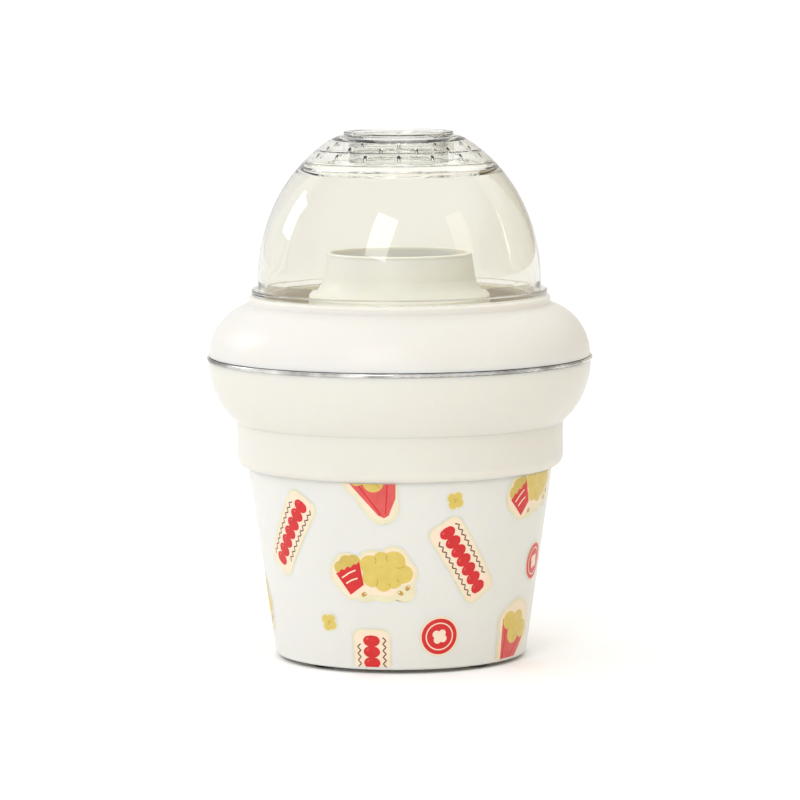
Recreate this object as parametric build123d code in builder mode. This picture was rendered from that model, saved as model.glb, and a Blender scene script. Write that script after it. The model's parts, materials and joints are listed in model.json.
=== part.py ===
from build123d import *
import math
import os

# Hot-air popcorn maker shaped like a cup of ice cream: a tapered cup that holds the motor,
# fan and heater, a doughnut-shaped bowl with a chimney, and a clear dome with a vented cap
# that carries the measuring cup.
# Millimetres, +Z up, front towards -Y, origin under the centre of the feet.

# ---- driving dimensions -------------------------------------------------------------
cup_bottom_z = 2.0          # the feet lift the cup's edge this far off the table
cup_bottom_radius = 61.9
cup_slope = 0.1415          # radius gained per millimetre of height
cup_neck_z = 93.0           # above this the wall is straight, inside the collar's band
cup_top_z = 110.0
cup_wall = 2.2
cup_flange_inner = 63.0

band_radius = 80.4
band_lip_z = 94.8
band_top_z = 117.0
lower_arc_centre = (53.8, 147.0)
lower_arc_radius = 40.3
collar_top_z = 147.2
collar_wall = 2.4
web_z = 110.2               # shelf inside the collar that sits on the cup's flange
web_height = 2.4

trim_radius = 95.0
trim_height = 2.0

bowl_bottom_z = 149.5
upper_arc_centre = (67.5, 149.3)
upper_arc_radius = 26.4
bowl_wall = 2.5
bowl_lip_radius = 74.2
bowl_lip_z = 178.9
bowl_mouth_radius = 69.0
skirt_outer = 90.6
skirt_inner = 88.8
skirt_bottom_z = 145.2

tray_rim_radius = 88.4
tray_floor_z = 156.5
tray_wall = 2.0
chimney_top_z = 200.0
chimney_lip_radius = 35.8
chimney_lip_height = 1.3
chimney_bore = 33.6
chimney_wall = 1.0
chimney_tube_z = 145.8

dome_wall = 2.0
dome_radius = 69.7          # half width of the dome's ellipse
dome_rise = 79.0            # half height of the same ellipse
dome_centre_z = 186.0
dome_flange_radius = 72.8
dome_flange_z = 179.2
dome_flange_height = 2.8
dome_spigot_radius = 68.4
dome_spigot_z = 177.0
dome_mouth_z = 241.5

cap_gap = 0.3
cap_top_z = 257.3
cap_neck_outer = 29.0
cap_neck_bore = 25.2
cap_neck_z = 244.6
vent_rings = [(34.6, 12), (38.0, 14), (42.2, 16)]   # circle radius, number of steam holes
vent_radius = 0.8
cap_grooves = [244.4, 250.4]

scoop_radius = 24.0
scoop_bead = 0.8
scoop_beads = [241.2, 244.8, 248.6, 252.4]
scoop_wall = 1.6
scoop_bottom_z = 237.6
scoop_flange_radius = 27.0
scoop_flange_z = 257.6
scoop_top_z = 259.3

deck_z = 143.0
deck_thickness = 2.5
deck_radius = 88.0
deck_bore = 38.6
deck_hub_radius = 47.5
deck_hub_z = 146.7

chamber_bore = 36.2
chamber_wall = 1.0
chamber_floor_z = 88.0
chamber_flange_radius = 46.0
gasket_height = 1.5
louvre_count = 16

can_radius = 47.0           # sheet-metal heater housing
can_wall = 0.8
can_bottom_z = 66.0

fan_floor_z = 50.0
fan_inlet_radius = 30.0
fan_wall = 2.5
fan_radius = 40.5
blade_count = 12
stack_circle = 57.0         # posts and ears that hang the fan housing from the deck

motor_radius = 14.0
motor_bottom_z = 13.0
shaft_radius = 1.15

base_z = 3.4
base_thickness = 2.5
base_radius = 59.1
foot_circle = 50.0
foot_radius = 7.0

screw_radius = 1.45
screw_hole = 1.5
screw_head_radius = 2.8
pan_head_height = 1.7

pad_centre_z = 31.0         # raised pad on the back for the switch and the mains lead
pad_width = 30.0
pad_height = 46.0
pad_rise = 0.8
pad_depth = 3.4
switch_offset = 8.0
switch_window = (13.2, 19.4)
gland_offset = -15.5
gland_seat_radius = 5.0
gland_bore_radius = 3.2
gland_flange_radius = 7.0

switch_body = (12.8, 19.0)
switch_bezel = (15.6, 21.8)
switch_depth = 15.0
switch_bezel_height = 1.6
pocket = (9.8, 16.4)
pivot_depth = 1.5
pivot_radius = 1.0
rocker_tilt = 8.0           # the rocker rests this many degrees off centre, top end in

label_gap = 0.02
label_thickness = 0.12

quarter_angles = 45.0
slope_angle = math.degrees(math.atan(cup_slope))


def cup_radius(z):
    """Outer radius of the tapered cup wall at height z."""
    return cup_bottom_radius + cup_slope * (z - cup_bottom_z)


def arc_radius_at(centre, radius, z):
    """Radius from the Z axis at height z of a circular arc drawn in the profile plane."""
    return centre[0] + math.sqrt(radius**2 - (z - centre[1]) ** 2)


def dome_at(z, inset=0.0):
    """Radius at height z of the dome's ellipse, moved inwards by inset."""
    share = (z - dome_centre_z) / (dome_rise - inset)
    return (dome_radius - inset) * math.sqrt(1 - share**2)


def dome_curve(low, high, inset=0.0, steps=8):
    """Points along the dome's ellipse between two heights."""
    heights = [low + (high - low) * step / steps for step in range(steps + 1)]
    return [(dome_at(z, inset), z) for z in heights]


def turn(*points, mode=Mode.ADD):
    """Revolve a closed outline of (radius, height) points about the Z axis."""
    with BuildSketch(Plane.XZ) as profile:
        with BuildLine():
            Polyline(*points, close=True)
        make_face()
    revolve(profile.sketch, axis=Axis.Z, mode=mode)


def disc_stack(*levels, mode=Mode.ADD):
    """Coaxial cylinders given as (bottom, top, radius)."""
    for bottom, top, radius in levels:
        with BuildSketch(Plane.XY.offset(bottom)) as disc:
            Circle(radius)
        extrude(disc.sketch, amount=top - bottom, mode=mode)


def rods(bottom, top, radius, circle, count, start=0.0, mode=Mode.ADD):
    """Equal vertical cylinders spread round a circle."""
    with BuildSketch(Plane.XY.offset(bottom)) as ends:
        with PolarLocations(circle, count, start_angle=start):
            Circle(radius)
    extrude(ends.sketch, amount=top - bottom, mode=mode)


def rear_plane(offset=0.0):
    """Plane of the service pad on the back, parallel to the cup's sloping wall, y upwards."""
    slope = math.radians(slope_angle)
    normal = Vector(0, math.cos(slope), -math.sin(slope))
    on_wall = Vector(0, cup_radius(pad_centre_z), pad_centre_z)
    return Plane(origin=on_wall + normal * (pad_rise + offset), x_dir=(-1, 0, 0), z_dir=normal)


# ---- cup and base -------------------------------------------------------------------
def cup_housing():
    """Tapered printed cup with a screw flange at the top and four bosses for the base."""
    neck_radius = cup_radius(cup_neck_z)
    boss_z = base_z + base_thickness
    boss_top_z = 20.0
    with BuildPart() as housing:
        turn(
            (0, cup_bottom_z), (cup_bottom_radius, cup_bottom_z), (neck_radius, cup_neck_z),
            (neck_radius, cup_top_z), (0, cup_top_z),
        )
        fillet(housing.edges().filter_by(GeomType.CIRCLE).sort_by(Axis.Z)[0], radius=1.2)
        turn(
            (0, cup_bottom_z), (cup_bottom_radius - cup_wall, cup_bottom_z),
            (neck_radius - cup_wall, cup_neck_z),
            (neck_radius - cup_wall, cup_top_z - cup_wall),
            (cup_flange_inner, cup_top_z - cup_wall), (cup_flange_inner, cup_top_z),
            (0, cup_top_z), mode=Mode.SUBTRACT,
        )
        rods(boss_z, boss_top_z, 4.0, foot_circle, 4, quarter_angles)
        rib_reach = cup_radius(boss_z) - cup_wall - foot_circle + 1.0
        with BuildSketch(Plane.XY.offset(boss_z)):
            with PolarLocations(foot_circle + rib_reach / 2, 4, start_angle=quarter_angles):
                Rectangle(rib_reach, 2.0)
        extrude(amount=boss_top_z - boss_z - 5)
        rods(boss_z, boss_z + 12, screw_hole, foot_circle, 4, quarter_angles, mode=Mode.SUBTRACT)
        rods(
            cup_top_z - cup_wall, cup_top_z, screw_hole, 67.5, 4, quarter_angles,
            mode=Mode.SUBTRACT,
        )
        with BuildSketch(rear_plane()):
            RectangleRounded(pad_width, pad_height, 5)
        extrude(amount=-pad_depth)
        with BuildSketch(rear_plane()):
            with Locations((0, switch_offset)):
                Rectangle(*switch_window)
            with Locations((0, gland_offset)):
                Circle(gland_seat_radius)
        extrude(amount=2 * pad_depth, both=True, mode=Mode.SUBTRACT)
    return housing.part


def base_plate():
    """Bottom cover with an air-inlet grille of radial slots and four screw holes."""
    with BuildPart() as plate:
        disc_stack((base_z, base_z + base_thickness, base_radius))
        with BuildSketch(Plane.XY.offset(base_z)):
            with PolarLocations(21, 16):
                SlotOverall(16, 2.8)
            with PolarLocations(38, 32):
                SlotOverall(12, 2.8)
        extrude(amount=base_thickness, mode=Mode.SUBTRACT)
        with BuildSketch(Plane.XY.offset(base_z)):
            Circle(9)
            Circle(7, mode=Mode.SUBTRACT)
        extrude(amount=-0.8)
        rods(
            base_z, base_z + base_thickness, screw_hole + 0.1, foot_circle, 4, quarter_angles,
            mode=Mode.SUBTRACT,
        )
    return plate.part


def feet():
    """Four rubber feet, each counterbored for the screw that also holds the base plate."""
    with BuildPart() as pads:
        rods(0, base_z, foot_radius, foot_circle, 4, quarter_angles)
        fillet(
            pads.edges().filter_by(GeomType.CIRCLE).group_by(Axis.Z)[0],
            radius=0.8,
        )
        rods(0, base_z, screw_hole + 0.1, foot_circle, 4, quarter_angles, mode=Mode.SUBTRACT)
        rods(0, 2.4, screw_head_radius + 0.3, foot_circle, 4, quarter_angles, mode=Mode.SUBTRACT)
    return pads.part


def screws(head_z, tip_z, circle, count, start, head=pan_head_height):
    """Cross-head screws, head at head_z and tip at tip_z, spread round a circle."""
    away = 1 if head_z > tip_z else -1
    crown = head_z + away * head
    with BuildPart() as fasteners:
        rods(min(head_z, tip_z), max(head_z, tip_z), screw_radius, circle, count, start)
        rods(min(head_z, crown), max(head_z, crown), screw_head_radius, circle, count, start)
        with BuildSketch(Plane.XY.offset(crown)):
            with PolarLocations(circle, count, start_angle=start):
                Rectangle(3.2, 0.7)
                Rectangle(0.7, 3.2)
        extrude(amount=-away * 0.9, mode=Mode.SUBTRACT)
    return fasteners.part


# ---- collar -------------------------------------------------------------------------
def lower_collar():
    """Lower half of the doughnut with the band below it and a shelf that sits on the cup."""
    cx, cz = lower_arc_centre
    inner_arc = lower_arc_radius - collar_wall
    arc_foot_z = band_top_z + 0.6
    lip_inner = cup_radius(cup_neck_z) + 0.35
    lip_fillet = 5.2
    band_inner = band_radius - collar_wall
    arc_foot = (arc_radius_at(lower_arc_centre, lower_arc_radius, arc_foot_z), arc_foot_z)
    arc_head = (cx + lower_arc_radius, cz)
    inner_foot_z = web_z + web_height + 5.4
    inner_foot = (arc_radius_at(lower_arc_centre, inner_arc, inner_foot_z), inner_foot_z)
    inner_head = (cx + inner_arc, cz)
    with BuildPart() as collar:
        with BuildSketch(Plane.XZ):
            with BuildLine():
                RadiusArc(arc_foot, arc_head, -lower_arc_radius)
                Polyline(
                    arc_head, (arc_head[0], collar_top_z), (inner_head[0], collar_top_z), inner_head,
                )
                RadiusArc(inner_head, inner_foot, inner_arc)
                Polyline(
                    inner_foot, (band_inner, inner_foot_z), (band_inner, web_z + web_height),
                    (cup_flange_inner, web_z + web_height), (cup_flange_inner, web_z),
                    (band_inner, web_z), (band_inner, band_lip_z + 4.6),
                    (lip_inner, band_lip_z + 2.4), (lip_inner, band_lip_z),
                    (band_radius - lip_fillet, band_lip_z),
                )
                RadiusArc(
                    (band_radius - lip_fillet, band_lip_z),
                    (band_radius, band_lip_z + lip_fillet), -lip_fillet,
                )
                Polyline(
                    (band_radius, band_lip_z + lip_fillet), (band_radius, band_top_z), arc_foot,
                )
            make_face()
        revolve(axis=Axis.Z)
        rods(web_z + web_height, web_z + 12, 3.6, 67.5, 4, quarter_angles)
        rods(web_z, web_z + 9, screw_hole, 67.5, 4, quarter_angles, mode=Mode.SUBTRACT)
        rods(web_z + web_height, deck_z, 4.0, 73.5, 4)
        rods(deck_z - 12, deck_z, screw_hole, 73.5, 4, mode=Mode.SUBTRACT)
    return collar.part


def chrome_ring():
    """Bright trim strip along the doughnut's widest line."""
    bottom = collar_top_z
    top = bottom + trim_height
    with BuildPart() as ring:
        turn((91.2, bottom), (trim_radius, bottom), (trim_radius, top), (91.2, top))
        outer = ring.edges().filter_by(GeomType.CIRCLE).filter_by(
            lambda edge: edge.radius > trim_radius - 0.1
        )
        fillet(outer, radius=0.8)
    return ring.part


def deck_plate():
    """Plate that closes the collar under the bowl and carries the popping chamber."""
    top = deck_z + deck_thickness
    with BuildPart() as deck:
        disc_stack((deck_z, top, deck_radius), (deck_z, deck_hub_z, deck_hub_radius))
        rods(can_bottom_z, deck_z, 4.0, stack_circle, 3, 30)
        rods(deck_z - 9, deck_z, 3.4, 42.0, 4, quarter_angles)
        disc_stack((deck_z - 9, deck_hub_z, deck_bore), mode=Mode.SUBTRACT)
        rods(
            deck_z - 8, deck_hub_z, screw_hole, 42.0, 4, quarter_angles, mode=Mode.SUBTRACT,
        )
        rods(deck_z, top, screw_hole + 0.1, 73.5, 4, mode=Mode.SUBTRACT)
        rods(
            can_bottom_z, can_bottom_z + 12, screw_hole, stack_circle, 3, 30, mode=Mode.SUBTRACT,
        )
    return deck.part


# ---- popping chamber and heater -----------------------------------------------------
def popping_chamber():
    """Aluminium cup with a ring of slanted louvres low in its wall and a flange on top."""
    outer = chamber_bore + chamber_wall
    flange_z = deck_hub_z + gasket_height
    floor_top = chamber_floor_z + chamber_wall
    cone_height = 5.0
    with BuildPart() as chamber:
        turn(
            (0, chamber_floor_z + cone_height), (chamber_bore - 6, chamber_floor_z),
            (outer, chamber_floor_z), (outer, flange_z), (chamber_flange_radius, flange_z),
            (chamber_flange_radius, flange_z + chamber_wall),
            (chamber_bore, flange_z + chamber_wall), (chamber_bore, floor_top),
            (chamber_bore - 6, floor_top), (0, floor_top + cone_height),
        )
        louvre_z = chamber_floor_z + 10
        with Locations((0, 0, louvre_z)):
            with PolarLocations(outer, louvre_count):
                Box(6, 2.0, 13, rotation=(28, 0, 0), mode=Mode.SUBTRACT)
        rods(
            flange_z, flange_z + chamber_wall, screw_hole + 0.1, 42.0, 4, quarter_angles,
            mode=Mode.SUBTRACT,
        )
    return chamber.part


def chamber_gasket():
    """Silicone ring between the chamber's flange and the deck."""
    with BuildPart() as ring:
        turn(
            (deck_bore + 0.4, deck_hub_z), (chamber_flange_radius, deck_hub_z),
            (chamber_flange_radius, deck_hub_z + gasket_height),
            (deck_bore + 0.4, deck_hub_z + gasket_height),
        )
        rods(
            deck_hub_z, deck_hub_z + gasket_height, screw_hole + 0.1, 42.0, 4, quarter_angles,
            mode=Mode.SUBTRACT,
        )
    return ring.part


def heater_housing():
    """Thin metal can that guides the hot air round the chamber."""
    inner = can_radius - can_wall
    with BuildPart() as can:
        turn(
            (inner, can_bottom_z), (can_radius, can_bottom_z), (can_radius, deck_z - can_wall),
            (can_radius + 4, deck_z - can_wall), (can_radius + 4, deck_z), (inner, deck_z),
        )
    return can.part


def mica_frame():
    """Two slotted mica plates that cross inside the can and carry the heating coil."""
    low = can_bottom_z + 2.5
    shoulder = 84.6
    high = 87.2
    coil_half_width = 32.4
    with BuildPart() as frame:
        for direction in (Plane.XZ, Plane.YZ):
            with BuildSketch(direction):
                with Locations((0, (low + shoulder) / 2)):
                    Rectangle(2 * coil_half_width, shoulder - low)
                with Locations((0, (shoulder + high) / 2)):
                    Rectangle(2 * (can_radius - can_wall - 0.3), high - shoulder)
                with Locations((0, (low + shoulder) / 2)):
                    with GridLocations(24, 0, 2, 1):
                        Rectangle(14, 8, mode=Mode.SUBTRACT)
            extrude(amount=0.5, both=True)
    return frame.part


def heater_coil():
    """Resistance wire wound round the mica cross in four turns."""
    wire_radius = 0.6
    with BuildPart() as coil:
        with BuildLine():
            path = Helix(pitch=3.6, height=14.4, radius=33.4, center=(0, 0, 69.4))
        with BuildSketch(Plane(origin=path @ 0, z_dir=path % 0)):
            Circle(wire_radius)
        sweep(is_frenet=True)
    return coil.part


def thermostat():
    """Bimetal cut-out clipped to the outside of the can, with two blade terminals."""
    centre_z = 118.0
    face = Plane(origin=(can_radius + 0.1, 0, centre_z), x_dir=(0, 1, 0), z_dir=(1, 0, 0))
    with BuildPart() as cutout:
        with BuildSketch(face):
            Circle(7.5)
        extrude(amount=1.2)
        with BuildSketch(face.offset(1.2)):
            Circle(6.2)
        extrude(amount=5.2)
        with BuildSketch(face.offset(6.4)):
            with GridLocations(7, 0, 2, 1):
                Rectangle(0.8, 4)
        extrude(amount=4.0)
    return cutout.part


def thermal_fuse():
    """One-shot fuse in its sleeve, lying along the can."""
    with BuildPart() as fuse:
        with BuildSketch(Plane.XY.offset(96)):
            with Locations((-(can_radius + 2.3), 0)):
                Circle(2.1)
        extrude(amount=12)
        with BuildSketch(Plane.XY.offset(90)):
            with Locations((-(can_radius + 2.3), 0)):
                Circle(0.7)
        extrude(amount=24)
    return fuse.part


# ---- fan and motor ------------------------------------------------------------------
def fan_housing():
    """Open drum under the can with a spider in its inlet that holds the motor."""
    floor_top = fan_floor_z + fan_wall
    with BuildPart() as drum:
        turn(
            (fan_inlet_radius, fan_floor_z), (can_radius, fan_floor_z), (can_radius, can_bottom_z),
            (can_radius - fan_wall, can_bottom_z), (can_radius - fan_wall, floor_top),
            (fan_inlet_radius, floor_top),
        )
        disc_stack((fan_floor_z, floor_top, 15.0))
        with BuildSketch(Plane.XY.offset(fan_floor_z)):
            with PolarLocations(23, 4, start_angle=quarter_angles):
                Rectangle(18, 4)
        extrude(amount=fan_wall)
        with BuildSketch(Plane.XY.offset(can_bottom_z - 4)):
            with PolarLocations(can_radius + 4, 3, start_angle=30):
                Rectangle(12, 8)
            with PolarLocations(stack_circle, 3, start_angle=30):
                Circle(4)
            Circle(can_radius - fan_wall, mode=Mode.SUBTRACT)
        extrude(amount=4)
        rods(
            can_bottom_z - 4, can_bottom_z, screw_hole + 0.1, stack_circle, 3, 30,
            mode=Mode.SUBTRACT,
        )
        disc_stack((fan_floor_z, floor_top, 3.4), mode=Mode.SUBTRACT)
        rods(fan_floor_z, floor_top, 1.3, 8.0, 2, mode=Mode.SUBTRACT)
    return drum.part


def motor_can():
    """Steel motor shell with a bearing bush in its face and two tapped holes."""
    inner = motor_radius - 1.2
    with BuildPart() as shell:
        turn(
            (inner, motor_bottom_z), (motor_radius, motor_bottom_z), (motor_radius, fan_floor_z),
            (3.2, fan_floor_z), (3.2, fan_floor_z + 1.6), (shaft_radius + 0.05, fan_floor_z + 1.6),
            (shaft_radius + 0.05, fan_floor_z - 3), (4.5, fan_floor_z - 3),
            (4.5, fan_floor_z - 1.4), (inner, fan_floor_z - 1.4),
        )
        rods(fan_floor_z - 1.4, fan_floor_z, 1.05, 8.0, 2, mode=Mode.SUBTRACT)
    return shell.part


def motor_end_cap():
    """Plastic end of the motor with the rear bearing."""
    with BuildPart() as cap:
        turn(
            (shaft_radius + 0.05, motor_bottom_z - 3), (4, motor_bottom_z - 3),
            (5.5, motor_bottom_z - 1.8), (12.6, motor_bottom_z - 1.8),
            (12.6, motor_bottom_z + 1.6), (shaft_radius + 0.05, motor_bottom_z + 1.6),
        )
        rods(
            motor_bottom_z - 1.8, motor_bottom_z + 1.6, 0.95, 9.0, 2, 90, mode=Mode.SUBTRACT,
        )
    return cap.part


def motor_terminals():
    """Two brass posts through the motor's end cap."""
    with BuildPart() as posts:
        rods(motor_bottom_z - 5, motor_bottom_z + 3, 0.9, 9.0, 2, 90)
    return posts.part


def motor_magnets():
    """Two curved magnets inside the motor shell."""
    with BuildPart() as arcs:
        with BuildSketch(Plane.XY.offset(19)):
            Circle(motor_radius - 1.25)
            Circle(10.2, mode=Mode.SUBTRACT)
            Rectangle(40, 7, mode=Mode.SUBTRACT)
        extrude(amount=24)
    return arcs.part


def motor_armature():
    """Slotted rotor core with its commutator, on the motor shaft."""
    bore = shaft_radius + 0.02
    with BuildPart() as core:
        with BuildSketch(Plane.XY.offset(21)):
            Circle(9.6)
            with PolarLocations(8.4, 3):
                Rectangle(4, 1.4, mode=Mode.SUBTRACT)
            with PolarLocations(6.2, 3):
                Circle(1.8, mode=Mode.SUBTRACT)
            Circle(bore, mode=Mode.SUBTRACT)
        extrude(amount=20)
        with BuildSketch(Plane.XY.offset(16)):
            Circle(3.2)
            Circle(bore, mode=Mode.SUBTRACT)
        extrude(amount=5)
    return core.part


def motor_shaft():
    """Steel shaft through both bearings into the fan's hub."""
    with BuildPart() as shaft:
        disc_stack((10.6, 63.4, shaft_radius))
        chamfer(shaft.edges().filter_by(GeomType.CIRCLE), length=0.3)
    return shaft.part


def fan_impeller():
    """Centrifugal fan: a back disc on top, curved blades below it and a hub on the shaft."""
    bottom = 54.0
    disc_z = 62.4
    with BuildPart() as fan:
        disc_stack((disc_z, disc_z + 1.4, fan_radius), (bottom + 1, disc_z + 1.4, 5.0))
        tip = Vector(fan_radius - 0.8, 0).rotate(Axis.Z, -24)
        blade = ThreePointArc((17, 0), (29.5, -4.6), tip, mode=Mode.PRIVATE)
        with BuildSketch(Plane.XY.offset(bottom)):
            with PolarLocations(0, blade_count):
                SlotArc(blade, 1.4)
        extrude(amount=disc_z - bottom)
        disc_stack((bottom, disc_z + 1.4, shaft_radius + 0.02), mode=Mode.SUBTRACT)
    return fan.part


def rectifier_board():
    """Small circuit board with four diodes, on stand-offs under the fan housing's floor."""
    board_z = 44.0
    centre = (-38.0, 0.0)
    with BuildPart() as board:
        with BuildSketch(Plane.XY.offset(board_z)):
            with Locations(centre):
                Rectangle(12, 26)
        extrude(amount=1.4)
        with BuildSketch(Plane.XY.offset(board_z + 1.4)):
            with Locations(centre):
                with GridLocations(0, 20, 1, 2):
                    Circle(2.2)
        extrude(amount=fan_floor_z - board_z - 1.4)
        for row in range(4):
            with BuildSketch(Plane.YZ.offset(centre[0] - 3)):
                with Locations((-4.8 + 3.2 * row, board_z - 1.2)):
                    Circle(1.25)
            extrude(amount=6)
    return board.part


# ---- switch and mains gland ---------------------------------------------------------
def switch_housing():
    """Body of the rocker switch with its bezel, pocket and pivot holes."""
    with BuildPart() as body:
        with BuildSketch(rear_plane()):
            with Locations((0, switch_offset)):
                RectangleRounded(*switch_bezel, 1.5)
        extrude(amount=switch_bezel_height)
        with BuildSketch(rear_plane()):
            with Locations((0, switch_offset)):
                Rectangle(*switch_body)
        extrude(amount=-switch_depth)
        with BuildSketch(rear_plane(switch_bezel_height)):
            with Locations((0, switch_offset)):
                Rectangle(*pocket)
        extrude(amount=-(switch_bezel_height + 11.5), mode=Mode.SUBTRACT)
        with BuildSketch(rocker_plane()):
            Circle(pivot_radius + 0.05)
        extrude(amount=switch_body[0] / 2 - 0.3, both=True, mode=Mode.SUBTRACT)
    return body.part


def rocker_plane(tilt=0.0):
    """Plane across the rocker's pivot, normal along the pivot, tilted from the pad's slope."""
    plane = rear_plane(-pivot_depth)
    pivot = plane.from_local_coords((0, switch_offset, 0))
    return Plane(origin=pivot, x_dir=plane.y_dir.rotate(Axis.X, tilt), z_dir=(-1, 0, 0))


def rocker_button():
    """Rocker with a shallow V face, tipped to its off position."""
    end_radius = 8.0
    profile_plane = rocker_plane(rocker_tilt)
    with BuildPart() as rocker:
        with BuildSketch(profile_plane):
            Circle(end_radius)
            with BuildLine():
                Polyline(
                    (-9, 3.9), (0, 2.7), (9, 3.9), (9, -2.4), (4, -6.5), (-4, -6.5), (-9, -2.4),
                    close=True,
                )
            make_face(mode=Mode.INTERSECT)
        extrude(amount=pocket[0] / 2 - 0.25, both=True)
        with BuildSketch(profile_plane):
            Circle(pivot_radius)
        extrude(amount=switch_body[0] / 2 - 0.5, both=True)
    return rocker.part


def switch_terminals():
    """Two blade terminals out of the back of the switch."""
    with BuildPart() as blades:
        with BuildSketch(rear_plane(-switch_depth)):
            with Locations((0, switch_offset)):
                with GridLocations(0, 9, 1, 2):
                    Rectangle(4.8, 0.8)
        extrude(amount=-6.5)
    return blades.part


def cord_gland():
    """Flanged bush that the mains lead comes out through."""
    with BuildPart() as gland:
        with BuildSketch(rear_plane()):
            with Locations((0, gland_offset)):
                Circle(gland_flange_radius)
        extrude(amount=2.2)
        fillet(
            gland.faces().sort_by(Axis.Y)[-1].edges().filter_by(GeomType.CIRCLE), radius=0.7,
        )
        with BuildSketch(rear_plane()):
            with Locations((0, gland_offset)):
                Circle(gland_seat_radius - 0.05)
        extrude(amount=-5.8)
        with BuildSketch(rear_plane(2.2)):
            with Locations((0, gland_offset)):
                Circle(gland_bore_radius)
        extrude(amount=-8.0, mode=Mode.SUBTRACT)
    return gland.part


# ---- bowl ---------------------------------------------------------------------------
def bowl_shell():
    """Upper half of the doughnut: the popcorn bowl's outside, its lip and a locating skirt."""
    cx, cz = upper_arc_centre
    inner_arc = upper_arc_radius - bowl_wall
    foot = (arc_radius_at(upper_arc_centre, upper_arc_radius, bowl_bottom_z), bowl_bottom_z)
    head_radius = bowl_lip_radius + 0.5
    head_z = cz + math.sqrt(upper_arc_radius**2 - (head_radius - cx) ** 2)
    head = (head_radius, head_z)
    inner_foot_z = tray_floor_z + 0.8
    inner_foot = (arc_radius_at(upper_arc_centre, inner_arc, inner_foot_z), inner_foot_z)
    inner_head = (cx + 4.5, cz + math.sqrt(inner_arc**2 - 4.5**2))
    with BuildPart() as shell:
        with BuildSketch(Plane.XZ):
            with BuildLine():
                RadiusArc(foot, head, -upper_arc_radius)
                Polyline(
                    head, (bowl_lip_radius, head_z + 0.6), (bowl_lip_radius, bowl_lip_z - 0.8),
                    (bowl_lip_radius - 0.8, bowl_lip_z), (bowl_mouth_radius, bowl_lip_z),
                    (bowl_mouth_radius, bowl_lip_z - 3.5), inner_head,
                )
                RadiusArc(inner_head, inner_foot, inner_arc)
                Polyline(
                    inner_foot, (skirt_inner, tray_floor_z), (skirt_inner, skirt_bottom_z),
                    (skirt_outer, skirt_bottom_z), (skirt_outer, bowl_bottom_z), foot,
                )
            make_face()
        revolve(axis=Axis.Z)
        with BuildSketch(Plane.XY.offset(146.8)):
            with PolarLocations((skirt_inner + skirt_outer) / 2, 4):
                Rectangle(4, 12)
        extrude(amount=1.8, mode=Mode.SUBTRACT)
    return shell.part


def popcorn_tray():
    """Floor of the bowl, with a wall up to the chimney's flared skin, open below."""
    under = tray_floor_z - tray_wall
    rim_bottom_z = skirt_bottom_z + 0.8
    skin_top_z = chimney_top_z - chimney_lip_height
    skin_bore = chimney_bore + chimney_wall + 0.1
    flare_start = (37.3, 188.8)
    flare_middle = (39.6, 182.4)
    flare_end = (43.6, 178.2)
    edge_top = (44.6, 177.2)
    wall_foot = (46.0, 161.5)
    floor_start = (51.0, tray_floor_z)
    with BuildPart() as tray:
        with BuildSketch(Plane.XZ):
            with BuildLine():
                Polyline((skin_bore, skin_top_z), (chimney_lip_radius, skin_top_z), flare_start)
                ThreePointArc(flare_start, flare_middle, flare_end)
                Polyline(flare_end, edge_top, wall_foot)
                ThreePointArc(wall_foot, (47.3, 158.1), floor_start)
                Polyline(
                    floor_start, (tray_rim_radius, tray_floor_z), (tray_rim_radius, rim_bottom_z),
                    (tray_rim_radius - tray_wall, rim_bottom_z), (tray_rim_radius - tray_wall, under),
                    (floor_start[0] - 0.8, under), (45.8, 156.6), (44.0, 160.6),
                    (edge_top[0] - tray_wall, 175.8), (38.2, 180.6), (35.6, 187.4),
                    (skin_bore, skin_top_z),
                )
            make_face()
        revolve(axis=Axis.Z)
        with BuildSketch(Plane.XY.offset(147.0)):
            with PolarLocations(tray_rim_radius, 4):
                Rectangle(2.4, 11)
        extrude(amount=1.4)
    return tray.part


def chimney_liner():
    """Straight tube inside the chimney, hung by the rolled lip that caps the tray's skin."""
    outer = chimney_bore + chimney_wall
    lip_z = chimney_top_z - chimney_lip_height
    with BuildPart() as liner:
        turn(
            (chimney_bore, chimney_tube_z), (chimney_bore, chimney_top_z),
            (chimney_lip_radius, chimney_top_z), (chimney_lip_radius, lip_z), (outer, lip_z),
            (outer, chimney_tube_z),
        )
        lip = liner.faces().sort_by(Axis.Z)[-1].edges()
        fillet(lip, radius=0.6)
    return liner.part


# ---- clear lid ----------------------------------------------------------------------
def dome_lid():
    """Clear dome with a seating flange below and a ledge inside its mouth for the cap."""
    flange_top = dome_flange_z + dome_flange_height
    inner_radius = dome_radius - dome_wall
    ledge_top = dome_mouth_z - 1.2
    ledge_bottom = ledge_top - 1.8
    ledge_inner = 45.2
    rebate = 47.8
    outside = dome_curve(dome_centre_z, dome_mouth_z)
    inside = dome_curve(dome_centre_z, ledge_bottom, dome_wall)
    with BuildPart() as dome:
        with BuildSketch(Plane.XZ):
            with BuildLine():
                Spline(*outside)
                Polyline(
                    outside[-1], (rebate, dome_mouth_z), (rebate, ledge_top),
                    (ledge_inner, ledge_top), (ledge_inner, ledge_bottom), inside[-1],
                )
                Spline(*inside)
                Polyline(
                    inside[0], (inner_radius - 0.6, dome_spigot_z),
                    (dome_spigot_radius, dome_spigot_z), (dome_spigot_radius, dome_flange_z),
                    (dome_flange_radius, dome_flange_z), (dome_flange_radius, flange_top),
                    (dome_radius, flange_top), outside[0],
                )
            make_face()
        revolve(axis=Axis.Z)
        rim = dome.edges().filter_by(GeomType.CIRCLE).filter_by(
            lambda edge: abs(edge.radius - dome_flange_radius) < 0.01
        )
        fillet(rim, radius=0.6)
    return dome.part


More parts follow.
